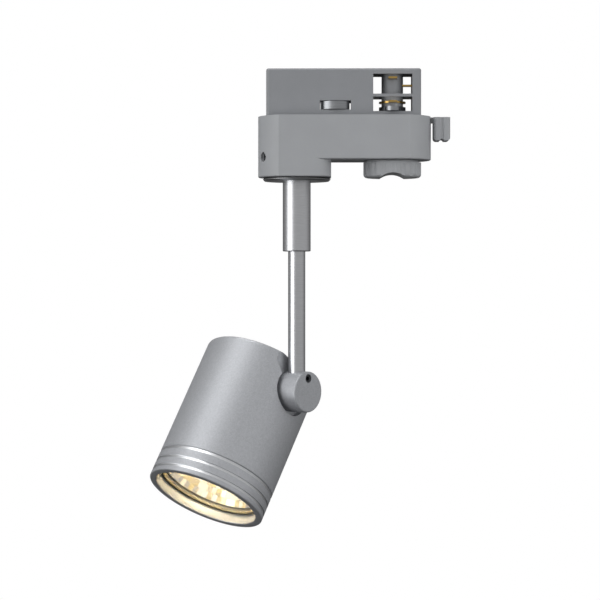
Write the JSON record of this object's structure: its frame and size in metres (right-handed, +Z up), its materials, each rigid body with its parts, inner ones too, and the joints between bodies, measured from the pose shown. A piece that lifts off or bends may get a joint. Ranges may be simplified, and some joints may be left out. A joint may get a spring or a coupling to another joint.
{
  "type": "track spotlight",
  "caption": "Track spotlight: clip-in adapter with circuit selector and lock lever, swivelling stem, and a tilting cylindrical head with a reflector lamp.",
  "frame": {"origin": "on the adapter's seat face, which meets the underside of the track, at the swivel axis", "axes": "+X along the track towards the selector knob and lock lever, +Y away from the front, +Z up into the track"},
  "size_m": [0.1393, 0.0799, 0.2141],
  "materials": {
    "adapter_shell": "silver-grey moulded plastic, fine satin",
    "carrier_moulding": "black moulded plastic",
    "contact_brass": "stamped brass",
    "zinc_steel": "zinc-plated steel",
    "black_steel": "black oxide steel",
    "stem_chrome": "satin nickel plate",
    "head_coat": "silver-grey metallic powder coat",
    "friction_fibre": "black fibre washer",
    "holder_ceramic": "unglazed steatite",
    "base_ceramic": "cemented lamp base",
    "reflector_coat": "pressed glass bowl with a facetted mirror coat",
    "lamp_glass": "clear front glass",
    "capsule_glass": "lit capsule",
    "pin_nickel": "nickel-plated pins",
    "lead_sleeve": "glass-fibre sleeved lead"
  },
  "bodies": {
    "adapter": {"adapter_housing": "adapter_shell", "contact_carrier": "carrier_moulding", "carrier_screws": "zinc_steel", "earth_contacts": "zinc_steel", "terminal_block": "carrier_moulding", "terminal_screws": "zinc_steel", "supply_leads": "lead_sleeve", "pickup_contacts": "contact_brass", "swivel_lock_screw": "black_steel", "adapter_wires": "lead_sleeve"},
    "stem": {"swivel_pad": "friction_fibre", "swivel_disc": "stem_chrome", "swivel_nipple": "zinc_steel", "stop_washer": "zinc_steel", "swivel_nut": "zinc_steel", "stem_sleeve": "stem_chrome", "stem_tube": "stem_chrome", "knuckle_body": "head_coat", "knuckle_grub_screw": "black_steel", "stem_wires": "lead_sleeve"},
    "head": {"head_housing": "head_coat", "rear_cap": "head_coat", "cap_screws": "zinc_steel", "pivot_pad": "friction_fibre", "pivot_washer": "zinc_steel", "pivot_nut": "zinc_steel", "lampholder": "holder_ceramic", "lampholder_bracket": "zinc_steel", "bracket_screws": "zinc_steel", "head_wires": "lead_sleeve"},
    "front_ring": {"front_ring": "head_coat"},
    "lamp": {"lamp_reflector": "reflector_coat", "lamp_front_glass": "lamp_glass", "lamp_base": "base_ceramic", "lamp_pins": "pin_nickel", "lamp_capsule": "capsule_glass"},
    "selector": {"selector_knob": "adapter_shell", "selector_spindle": "carrier_moulding", "phase_contacts": "contact_brass"},
    "lock_lever": {"lock_lever": "adapter_shell", "lock_cam": "zinc_steel", "neutral_contact": "contact_brass"}
  },
  "joints": [
    {"name": "swivel", "type": "hinge", "parent": "adapter", "child": "stem", "pos_m": [0, 0, -0.0282], "axis": [0, 0, 1], "range_deg": [-169, 169]},
    {"name": "head_tilt", "type": "hinge", "parent": "stem", "child": "head", "pos_m": [0, 0, -0.1276], "axis": [0.7547, -0.6561, 0], "range_deg": [-12, 78]},
    {"name": "selector_turn", "type": "hinge", "parent": "adapter", "child": "selector", "pos_m": [0.0444, 0, -0.0204], "axis": [0, 0, 1], "range_deg": [-90, 180]},
    {"name": "lock_lever_turn", "type": "hinge", "parent": "adapter", "child": "lock_lever", "pos_m": [0.0444, 0, -0.0016], "axis": [0, 0, 1], "range_deg": [0, 90]},
    {"name": "front_ring_pull", "type": "slide", "parent": "head", "child": "front_ring", "axis": [-0.3573, -0.411, -0.8387], "range_m": [0, 0.008]},
    {"name": "lamp_twist", "type": "hinge", "parent": "head", "child": "lamp", "pos_m": [-0.02113, 0.01837, -0.1276], "axis": [-0.3573, -0.411, -0.8387], "range_deg": [0, 25]}
  ]
}
